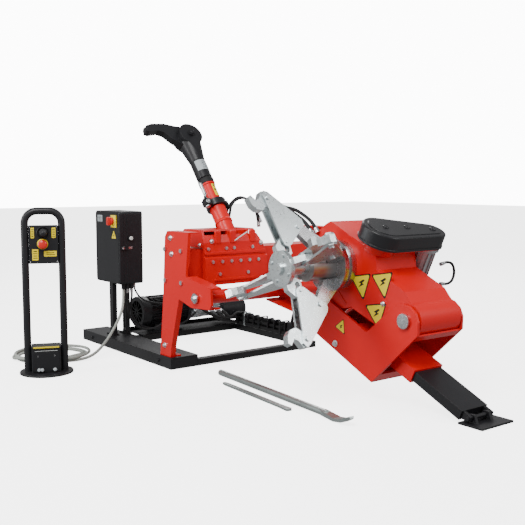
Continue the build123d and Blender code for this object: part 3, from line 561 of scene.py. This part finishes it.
def plate_label(name, place, width, height, look, body, bars=3, ink=None):
    """Sticker with wordless bars where lettering would be."""
    ink = ink or black_ink
    add(name, lambda s: prism(s, place, rounded(width, height, 2), 0.05, 0.6, 0.1), look, body)

    def build(shape):
        gap = height / (bars + 1)
        for bar in range(bars):
            y = -height / 2 + gap * (bar + 1)
            reach = width * (0.62 if bar % 2 else 0.74)
            prism(shape, place, rounded(reach, gap * 0.34, gap * 0.12, 0, y), 0.6, 0.9)

    if bars:
        add(name + "_marks", build, ink, body)


black_ink = surface("black_ink", (0.012, 0.012, 0.012), 0.45, vary=0.15, grain=300)
pale_ink = surface("pale_ink", (0.5, 0.52, 0.52), 0.5, vary=0.15, grain=300)
WEST = (-1, 0, 0)
SOUTH = (0, -1, 0)
EAST = (1, 0, 0)
UP = (0, 0, 1)


# ------------------------------------------------------------ control post
def post_side(x, y, z):
    """Frame on the post's front, in the post's own millimetres."""
    return on_side(POST.point(x, y, z), -POST_Y_AXIS)


def control_post():
    panel_y = -16
    for name, x, z, width, height, bars in (
            ("post_label_a", -49, 664, 15, 50, 5), ("post_label_b", 47, 664, 18, 48, 5),
            ("post_label_c", -38, 562, 28, 52, 4), ("post_label_d", 30, 566, 58, 26, 2)):
        plate_label(name, post_side(x, panel_y, z), width, height, yellow, "base",
                    bars)
    ring = post_side(0, panel_y, 664)

    def collar(shape):
        profile = [(31.5, -0.5), (31.5, 2.5), (30, 4), (28.2, 4), (27.6, 2), (27.5, -0.5)]
        lathe(shape, ring, profile, 40)

    def boot(shape):
        place = post_side(0, -22, 664)
        profile = [(16, 0), (18, 2), (17, 5), (19, 8), (15, 11), (17, 14), (12.5, 17), (14.5, 20),
                   (10, 23), (11, 26), (7, 29), (6, 36)]
        lathe(shape, place, profile, 36)

    def knob(shape):
        place = post_side(0, -50, 664)
        profile = [(7, 0), (11.5, 4), (13.5, 10), (13.5, 20), (12.5, 25), (9, 28), (4, 29)]
        lathe(shape, place, profile, 32)

    add("boot_collar", collar, plastic, "base")
    add("joystick_boot", boot, rubber, "joystick", 25)
    add("joystick_knob", knob, plastic, "joystick")

    def stop_ring(shape):
        profile = [(9, -0.5), (25, -0.5), (25, 2), (23, 6), (20.5, 10.6), (9, 10.6)]
        lathe(shape, post_side(-4, panel_y, 612), profile, 40)

    add("stop_collar", stop_ring, yellow, "base")

    def mushroom(shape):
        profile = [(12, 0), (19, 3), (22, 7), (22, 11), (20, 15), (15, 18), (8, 19.5), (2, 20)]
        lathe(shape, post_side(-4, -32.5, 612), profile, 40)

    cap = add("stop_mushroom", mushroom, red_plastic, "stop_button")
    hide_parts("stop_button")
    socket_screws("panel_screws", [(POST.point(x, panel_y, z), -POST_Y_AXIS)
                                   for x in (-60, 60) for z in (528, 690)], 3, "base")
    box_y = -52
    screws = [(POST.point(x, box_y, 88), -POST_Y_AXIS) for x in (-38, 38)]
    socket_screws("post_box_screws", screws, 4, "base")
    strip = post_side(0, box_y - 4, 130)
    add("post_box_strip", lambda s: prism(s, strip, rounded(116, 7, 1.5), 0.2, 1.4, 0.3), yellow,
        "base")
    lid = post_side(0, box_y, 60)
    add("post_box_rim", lambda s: prism(s, lid, rounded(118, 96, 5), 0.2, 2.6, 0.8), black,
        "base")
    groove = post_side(0, box_y, 113)
    add("post_box_line", lambda s: prism(s, groove, rounded(104, 2.4, 1), 2.0, 3.2, 0.2), pale_ink,
        "base")
    glands = []
    for x in (-34, -20, 38):
        glands.append(post_side(x, box_y - 2, 24))

    def gland_nuts(shape):
        for place in glands:
            profile = [(7, -1), (7, 4), (9, 4), (9, 10), (6.5, 12), (6.5, 15), (3, 16)]
            lathe(shape, place, profile, 6)
            lathe(shape, place.moved(0, 0, 12), [(5.5, 0), (5.5, 5), (3, 6)], 16)

    add("post_box_glands", gland_nuts, label_grey, "base", 30)
    feet = [(POST.point(106 * math.cos(a), 106 * math.sin(a), 9.5), UP)
            for a in (math.radians(45 + 90 * i) for i in range(4))]
    bolts("post_feet_bolts", feet, 5, 3.5, black, "base")


# ---------------------------------------------------------------- cabinet
def cabinet():
    face_x = 44
    plate = on_side(at(face_x, 826, 700), WEST)
    plate_label("cabinet_label", plate, 58, 36, label_grey, "cabinet_door", 4)
    warning("cabinet_warning", on_side(at(face_x, 662, 610), WEST), 31, "cabinet_door")
    ring = on_side(at(face_x - 4, 659, 690), WEST)

    def dial(shape):
        profile = [(26, -0.5), (26, 2), (24, 5), (22, 5.2), (6, 5.2)]
        lathe(shape, ring, profile, 40)

    add("switch_dial", dial, yellow, "cabinet_door")

    def handle(shape):
        place = on_side(at(face_x - 10, 659, 690), WEST)
        lathe(shape, place, [(19, 0), (19, 9), (16, 12), (4, 12.5)], 40)
        prism(shape, place.moved(0, 0, 10), rounded(17, 46, 6), 0, 22, 3)

    knob = add("switch_handle", handle, red_plastic, "switch_knob")
    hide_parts("switch_knob")
    screws = [(at(face_x - 4, y, z), WEST) for y in (633, 685) for z in (660, 717)]
    socket_screws("switch_screws", screws, 2.6, "cabinet_door")

    def seam(shape):
        place = on_side(at(face_x + 0.5, 742.5, 545), WEST)
        outer = rounded(270, 380, 14)
        inner = rounded(262, 372, 10)
        loops = [[shape.verts.new(place.point(x, y, z)) for x, y in ring_points]
                 for ring_points, z in ((outer, 0), (outer, 1.6), (inner, 1.6), (inner, 0))]
        for lower, upper in zip(loops, loops[1:] + loops[:1]):
            for i in range(len(outer)):
                j = (i + 1) % len(outer)
                shape.faces.new((lower[i], lower[j], upper[j], upper[i]))

    add("door_bead", seam, black, "cabinet_door")
    def button(shape):
        lathe(shape, on_side(at(112, 596, 598), SOUTH), [(10.9, 0), (10.9, 6), (9, 9), (3, 10)], 32)

    cap = add("start_cap", button, white, "start_button")
    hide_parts("start_button")

    latch_x = face_x + 18

    def latch(shape):
        place = on_side(at(latch_x, 592, 546), SOUTH)
        lathe(shape, place, [(8, -0.5), (8, 5), (6.5, 7), (2, 7)], 24)
        prism(shape, place.moved(0, 0, 5), rounded(4, 13, 1.5), 0, 5, 0.6)
        clasp = on_side(at(latch_x + 42, 600, 546), SOUTH)
        prism(shape, clasp, rounded(34, 14, 4), 0, 5, 1)
        lathe(shape, clasp.moved(10, 0, 5), [(4.4, 0), (4.4, 3), (2, 3.6)], 16)

    add("cabinet_latch", latch, steel, "base")
    rail = [at(x, 600.5, z) for x, z in ((92, 728), (92, 362))]
    add("cabinet_gutter", lambda s: sweep(s, rail, 2.4, 10), black, "base")
    cabinet_cables()


def cabinet_cables():
    """Black leads from the glands to the motor, the pump and along the beam."""
    motor_lead = [(104, 630, 322), (104, 632, 270), (112, 636, 190), (150, 640, 120), (215, 646, 84),
                  (300, 640, 90), (380, 640, 150), (415, 655, 166)]
    pump_lead = [(128, 630, 322), (130, 630, 280), (128, 640, 220), (150, 650, 150), (212, 658, 96),
                 (320, 664, 74), (470, 668, 84), (560, 676, 130), (590, 684, 158)]
    valve_lead = [(150, 640, 348), (152, 632, 310), (190, 640, 262), (250, 650, 232), (330, 660, 214),
                  (420, 668, 210), (470, 672, 200)]
    thin_lead = [(92, 640, 348), (90, 628, 306), (82, 622, 240), (88, 640, 170), (104, 676, 110),
                 (118, 700, 80)]
    for name, route, radius in (("motor_lead", motor_lead, 6), ("pump_lead", pump_lead, 6),
                                ("valve_lead", valve_lead, 5), ("earth_lead", thin_lead, 4)):
        hose(name, [at(*p) for p in route], radius, rubber, "base")
    tie = on_side(at(118, 690, 66), UP)
    add("lead_saddle", lambda s: prism(s, tie, rounded(44, 30, 5), -0.5, 10, 3), black, "base")
    bolts("cabinet_leg_bolts", [(at(x, y, 65), UP) for x in (55, 133) for y in (694, 756)], 6, 5,
          steel, "base")


# -------------------------------------------------------------- power pack
PACK_Y = 778
PACK_Z = 158


def power_pack():
    cowl = Place(at(240, PACK_Y, PACK_Z), (0, 1, 0), (0, 0, 1))

    def fan_cover(shape):
        profile = [(87, 2), (89, 0), (89, -46), (86, -52), (76, -55), (72, -52)]
        lathe(shape, cowl, [(r, -z) for r, z in profile], 48)
        for ring in (20, 34, 48, 62):
            inner, outer = ring - 3, ring + 3
            bar = [(inner, 0), (inner, 3), (outer, 3), (outer, 0)]
            lathe(shape, cowl.moved(0, 0, -2), bar, 40)

    def grille(shape):
        for spoke in range(12):
            place = turned(cowl, 30 * spoke)
            prism(shape, place, rounded(66, 4, 1.5, 40), -3, 1, 0.5)

    add("motor_fan_cover", fan_cover, black, "base")
    add("motor_fan_grille", grille, black, "base")

    def fins(shape):
        for step in range(40):
            angle = math.radians(9 * step)
            if math.cos(angle) < -0.93:
                continue
            out = Vector((0, math.sin(angle), math.cos(angle)))
            place = Place(at(414, PACK_Y, PACK_Z) + out * 78 * MM, (1, 0, 0), out)
            prism(shape, place, rounded(222, 11, 1.4, 0, 4), -1.2, 1.2, 0.4)

    add("motor_fins", fins, black, "base")
    bolts("motor_bolts", [(at(552, PACK_Y + 82 * math.sin(a), PACK_Z + 82 * math.cos(a)), EAST)
                          for a in (math.radians(45 + 90 * i) for i in range(4))], 6, 5, steel,
          "base")
    lid = on_side(at(415, PACK_Y - 128, PACK_Z + 2), SOUTH)
    add("terminal_lid", lambda s: prism(s, lid, rounded(82, 68, 6), -0.5, 6, 2), black, "base")
    corners = [(at(415 + x, PACK_Y - 134, PACK_Z + 2 + z), SOUTH) for x in (-33, 33) for z in (-26, 26)]
    socket_screws("terminal_screws", corners, 3, "base")

    def coils(shape):
        for x in (662, 704, 746):
            place = Place(at(x + 15, PACK_Y, PACK_Z + 34), (1, 0, 0), (0, 1, 0))
            lathe(shape, place, [(19, 0), (20, 2), (20, 42), (18, 45), (9, 46), (9, 54), (5, 57)], 28)
            prism(shape, place.moved(0, -22, 22), rounded(18, 14, 3), -12, 12, 2)

    add("valve_coils", coils, black, "base")

    def fittings(shape):
        for x in (662, 704, 746):
            place = on_side(at(x + 15, PACK_Y - 64, PACK_Z - 28), SOUTH)
            prism(shape, place, circle(13, sides=6), -2, 10, 1)
            lathe(shape, place.moved(0, 0, 10), [(9, 0), (9, 8), (11, 9), (11, 18)], 20)
        for z in (-42, -8, 26):
            place = on_side(at(572, PACK_Y - 55, PACK_Z + z), SOUTH)
            prism(shape, place, circle(9, sides=6), -1, 7, 1)

    add("valve_fittings", fittings, valve, "base", 30)
    bolts("pump_bolts", [(at(x, PACK_Y - 55, PACK_Z + z), SOUTH) for x in (562, 630) for z in (-50, 52)],
          6, 5, steel, "base")
    blocks = [(at(x, PACK_Y - 42, PACK_Z - 8), SOUTH) for x in (650, 692, 734, 780)]
    bolts("valve_bolts", blocks, 5, 4, steel, "base")

    def cap(shape):
        place = Place(at(880, PACK_Y, PACK_Z + 54), (1, 0, 0), (0, 1, 0))
        lathe(shape, place, [(20, 0), (24, 2), (24, 14), (21, 18), (4, 19)], 18)

    add("tank_cap", cap, plastic, "base", 25)

    def bands(shape):
        for x in (806, 946):
            place = Place(at(x, PACK_Y, PACK_Z - 36), (0, 1, 0), (0, 0, 1))
            lathe(shape, place, [(70.4, -9), (72.5, -8), (72.5, 8), (70.4, 9)], 48)

    add("tank_bands", bands, black, "base")
    pack_hoses()


def pack_hoses():
    start = PACK_Y - 82
    for i, x in enumerate((677, 719, 761)):
        end_x = (870, 880, 892)[i]
        end_z = (50, 74, 98)[i]
        route = [(x, start, PACK_Z - 28), (x, start - 34, PACK_Z - 34), (x + 30, start - 62, 92),
                 (end_x - 50, 640, end_z + 14), (end_x - 6, 664, end_z + 2), (end_x, 690, end_z)]
        hose("pack_hose_%d" % i, [at(*p) for p in route], 9, rubber, "base")
    high = [(590, PACK_Y - 90, PACK_Z), (592, PACK_Y - 130, PACK_Z + 6), (640, PACK_Y - 150, 130),
            (720, PACK_Y - 140, 96), (792, PACK_Y - 120, 92), (800, PACK_Y - 66, 104)]
    hose("pump_hose", [at(*p) for p in high], 10, rubber, "base")


# -------------------------------------------------------------- base frame
def base_frame():
    def braid(shape):
        """Raised wraps and ties round the hose bundle."""
        for y in (200, 300, 360, 500, 560, 606, 672):
            place = on_side(at(887, y, 76), SOUTH)
            outer = rounded(54, 78, 16)
            prism(shape, place, outer, -3, 3, 1)

    add("bundle_ties", braid, black, "base")
    tie = on_side(at(887, 588, 77), SOUTH)
    add("bundle_silver_tie", lambda s: prism(s, tie, rounded(58, 82, 17), -4, 4, 1), zinc, "base")
    bolts("manifold_bolts", [(at(x, 130, z), SOUTH) for x in (862, 912) for z in (50, 106)], 6, 5,
          steel, "base")
    bolts("front_beam_bolts", [(at(0, y, 28), WEST) for y in (120, 860)], 8, 6, black, "base")

    def caps(shape):
        for y, out in ((0, SOUTH), (980, (0, 1, 0))):
            place = on_side(at(76.5, y, 28.5), out)
            prism(shape, place, rounded(145, 49, 5), -0.5, 2.5, 1)

    add("beam_caps", caps, black, "base")

    def welds(shape):
        for x in (156, 875):
            for y in (0.5, 40.5, 709.5, 750.5):
                sweep(shape, [at(x, y, 3 + 4 * i) for i in range(8)], 2.2, 8)

    add("beam_welds", welds, black, "base")


# ------------------------------------------------------ portal and carriage
def portal():
    spots = [(at(10, 9, 636), WEST), (at(10, 72, 110), WEST), (at(10, 0, 560), WEST)]
    bolts("leg_bolts", spots, 10, 8, zinc, "base")
    pin = [(at(-2, -215, 372), WEST)]
    bolts("fold_pin_bolt", pin, 13, 9, zinc, "unit")

    def welds(shape):
        for a, b in (((-150, 668), (-130, 505)), ((-124, 455), (-62, 352)), ((16, 112), (-57, 350))):
            line = [at(22.5, a[0] + (b[0] - a[0]) * i / 20, a[1] + (b[1] - a[1]) * i / 20)
                    for i in range(21)]
            sweep(shape, line, 2.6, 8)

    add("leg_welds", welds, red, "base")


def carriage():
    x0 = 130
    y0 = -108

    def trim(shape):
        place = on_side(at(315, y0 + 14, 560), SOUTH)
        prism(shape, place, rounded(362, 12, 2), -1, 9, 2)
        place = on_side(at(300, y0, 432), SOUTH)
        prism(shape, place, rounded(240, 10, 2), -1, 5, 2)
        for x in (212, 300, 418):
            lug = on_side(at(x, y0 + 20, 636), SOUTH)
            prism(shape, lug, rounded(34, 60, 6), -2, 10, 3)

    add("carriage_trim", trim, red, "carriage")
    rod = [at(307, -97, 616), at(330, -100, 630), at(379, -103, 657)]
    add("carriage_pointer", lambda s: sweep(s, rod, 3.2, 12), white, "carriage")
    side = [(at(x0, y, z), WEST) for y in (-60, 60) for z in (430, 600)]
    bolts("carriage_end_bolts", side, 8, 6, zinc, "carriage")
    lift = [(at(x, y0 + 13.5, z), SOUTH) for x, z in ((176, 618), (470, 600))]
    bolts("carriage_lug_bolts", lift, 9, 7, zinc, "carriage")
    loops()


def loops():
    """Hydraulic hoses that rise over the carriage beside the tool arm."""
    first = [(372, 96, 660), (378, 98, 700), (392, 95, 742), (416, 95, 788), (466, 95, 821),
             (517, 95, 813), (555, 95, 775), (592, 92, 730), (604, 84, 690)]
    second = [(388, 80, 660), (396, 80, 705), (404, 80, 745), (413, 80, 780), (443, 80, 808),
              (487, 80, 818), (544, 84, 800), (572, 88, 760), (590, 90, 700), (596, 90, 668)]
    for number, route in enumerate((first, second)):
        hose("loop_hose_%d" % number, [at(*p) for p in route], 6.5, rubber, "carriage")

    def block(shape):
        place = on_side(at(596, 92, 672), UP)
        prism(shape, place, rounded(60, 44, 5), -30, 22, 3)
        arm = on_side(at(500, 92, 612), EAST)
        prism(shape, arm, rounded(16, 40, 3), 0, 80, 2)

    add("loop_block", block, black, "carriage")


# --------------------------------------------------------------- tool arm
def on_arm(s, angle=0.0):
    """Frame on the arm's axis at s millimetres from the tilt pin, z along the arm."""
    return turned(Place(ARM.origin + ARM_DIR * s * MM, (1, 0, 0), ARM_FRONT), angle)


def wrap(shape, s, radius, start, sweep_angle, height, thick=0.5, steps=18):
    """Sticker bent round a tube, from an angle, centred at s."""
    place = on_arm(s)
    rows = []
    for r in (radius, radius + thick):
        for z in (-height / 2, height / 2):
            row = []
            for i in range(steps + 1):
                a = math.radians(start + sweep_angle * i / steps)
                row.append(shape.verts.new(place.point(r * math.cos(a), r * math.sin(a), z)))
            rows.append(row)
    low_in, high_in, low_out, high_out = rows
    for a, b in ((low_out, high_out), (high_out, high_in), (high_in, low_in), (low_in, low_out)):
        for i in range(steps):
            shape.faces.new((a[i], a[i + 1], b[i + 1], b[i]))
    shape.faces.new((low_in[0], high_in[0], high_out[0], low_out[0]))
    shape.faces.new((low_in[-1], low_out[-1], high_out[-1], high_in[-1]))


def tool_arm():
    add("arm_label", lambda s: wrap(s, 264, 35.2, -96, 84, 74), yellow, "arm_inner")

    def marks(shape):
        for step, (s, angle) in enumerate(((290, -84), (276, -60), (254, -36), (238, -62), (264, -86))):
            wrap(shape, s, 35.8, angle, 16 + 4 * (step % 2), 12, 0.3, 6)

    add("arm_label_marks", marks, black_ink, "arm_inner")
    add("collar_label", lambda s: wrap(s, 424, 40.2, -150, 128, 62), label_grey, "head")

    def collar_marks(shape):
        for row in range(4):
            wrap(shape, 404 + 13 * row, 40.8, -104 + 6 * (row % 2), 44 - 9 * (row % 3), 4, 0.2, 8)

    add("collar_label_marks", collar_marks, black_ink, "head")

    def band(shape):
        profile = [(35.5, 0), (40.5, 1), (41.5, 4), (41.5, 28), (40, 32), (35.5, 33)]
        lathe(shape, on_arm(314), profile, 48)

    add("arm_band", band, rubber, "arm_inner")

    def root(shape):
        profile = [(41.3, 0), (45, 3), (45, 12), (41.3, 17)]
        lathe(shape, on_arm(72), profile, 48)

    add("arm_root_weld", root, red, "tool_arm")
    head_side = ARM.point(0, 0, 0) + ARM_DIR * 624 * MM
    bolts("head_bolt", [(head_side - ARM_FRONT * 54 * MM, -ARM_FRONT),
                        (head_side + ARM_FRONT * 54 * MM, ARM_FRONT)], 13, 7, black, "head")
    clamp = ARM.point(-70, -41, 0) + ARM_DIR * 187 * MM
    bolts("clamp_bolt", [(clamp, -ARM_FRONT)], 9, 8, zinc, "tool_arm")

    def tip(shape):
        place = Place(ARM.point(-236, 0, 0) + ARM_DIR * 668 * MM, ARM_FRONT, ARM_DIR)
        lathe(shape, place.moved(0, 0, -8), [(4, 0), (17, 2), (20, 8), (17, 14), (4, 17)], 24)

    add("beak_roller", tip, brown_black, "head")


# ------------------------------------------------------ lifting arm, chuck
ARM_SIDE_X = 378
SIGN_TURN = -56
YOKE_SIDE_X = 360


def unit_side(x, u, w):
    """Frame on a side face of the tilted unit, with y roughly up along W."""
    return Place(unit(x, u, w), ABOVE.cross(Vector(WEST)), ABOVE)


def lifting_arm():
    side = ARM_SIDE_X
    for number, (u, w) in enumerate(((286, 5), (181, 71), (159, -61))):
        warning("arm_sign_%d" % number, unit_side(side, u, w), 66, "arm", SIGN_TURN)

    def hub(shape):
        place = unit_side(side, 143, -9)
        lathe(shape, place, [(11, -0.5), (11, 3), (8, 5), (6, 9), (3, 10)], 24)

    add("arm_grease_point", hub, zinc, "arm")
    warning("yoke_sign", unit_side(YOKE_SIDE_X, 300, -214), 36, "unit")
    bolts("yoke_bolt", [(unit(YOKE_SIDE_X, 301, -300), WEST)], 11, 8, zinc, "unit")

    def welds(shape):
        for u0, w0, u1, w1 in ((330, -120, 470, -60), (470, -60, 560, 30)):
            line = [unit(side - 0.4, u0 + (u1 - u0) * i / 24, w0 + (w1 - w0) * i / 24)
                    for i in range(25)]
            sweep(shape, line, 2.4, 8)

    add("arm_welds", welds, red, "arm")


def chuck_trim():
    face = Place(unit(0, SPINDLE_U, SPINDLE_W), ALONG, ABOVE)

    def rings(shape):
        for x in (322, 338, 354):
            lathe(shape, face.moved(0, 0, x), [(66, 0), (74, 2), (76, 5), (74, 8), (66, 10)], 48)

    add("drum_rings", rings, zinc, "arm")
    for number, (shift, radius) in enumerate(((0, 9), (-22, 8), (-40, 7), (22, 8))):
        route = [(956, 37), (900, 61), (864, 71), (800, 89), (725, 93), (669, 86), (622, 65)]
        points = [unit(350 + shift, u - shift * 0.4, w + shift * 0.5) for u, w in route]
        hose("arm_hose_%d" % number, points, radius, rubber, "arm")

    cover = unit_side(ARM_SIDE_X, SPINDLE_U, SPINDLE_W)

    def studs(shape):
        for step in range(8):
            angle = math.radians(45 * step + 20)
            place = cover.moved(88 * math.cos(angle), 88 * math.sin(angle))
            hex_head(shape, place, 6.5, 5)

    add("drum_studs", studs, steel, "arm", 25)
    motor_loop()


def motor_loop():
    route = [(760, -1000, 546), (806, -1000, 552), (836, -1002, 540), (846, -1004, 505),
             (830, -1006, 472), (800, -1006, 459), (756, -1004, 461)]
    hose("gear_motor_lead", [at(*p) for p in route], 6, rubber, "arm")


def carrier_hoses():
    routes = (((862, 116, 80), (800, 60, 150), (760, -20, 236), (700, -80, 246), (650, -180, 250),
               (640, -300, 236)),
              ((888, 116, 92), (860, 60, 170), (810, -30, 226), (752, -90, 226), (690, -200, 232),
               (664, -310, 222)))
    for number, route in enumerate(routes):
        hose("carrier_hose_%d" % number, [at(*p) for p in route], 8, rubber, "base")


COVER_TOP = 255
DRIVEN = (424, 300)
DRIVEN_R = 98
DRIVE = (668, 262)
DRIVE_R = 60


def belt_guard():
    """Lid, screws and foot rim of the belt cover."""
    top = Place(unit(0, 0, COVER_TOP), (1, 0, 0), ALONG)

    def outline(grow):
        reach = Vector(DRIVE) - Vector(DRIVEN)
        heading = math.degrees(math.atan2(reach.y, reach.x))
        tangent = math.degrees(math.acos((DRIVEN_R - DRIVE_R) / reach.length))
        big = circle(DRIVEN_R + grow, *DRIVEN, 32, heading + tangent, 360 - 2 * tangent)
        small = circle(DRIVE_R + grow, *DRIVE, 16, heading - tangent, 2 * tangent)
        return big + small

    add("belt_lid", lambda s: prism(s, top, outline(-22), -1, 2.5, 1.5), plastic, "arm")

    def screws(shape):
        for x, u in (DRIVEN, DRIVE, (540, 290)):
            lathe(shape, top.moved(x, u, 2), [(14, 0), (14, 2), (11, 5), (6, 5), (5, 3), (1, 3)], 24)

    add("belt_lid_screws", screws, plastic, "arm")
    foot = top.moved(0, 0, 192 - COVER_TOP)
    add("belt_foot", lambda s: prism(s, foot, outline(3), 0, 9, 1.5), plastic, "arm")


paint_nodes()
camera()
studio()
control_cord()
control_post()
cabinet()
power_pack()
base_frame()
portal()
carriage()
tool_arm()
lifting_arm()
chuck_trim()
carrier_hoses()
belt_guard()
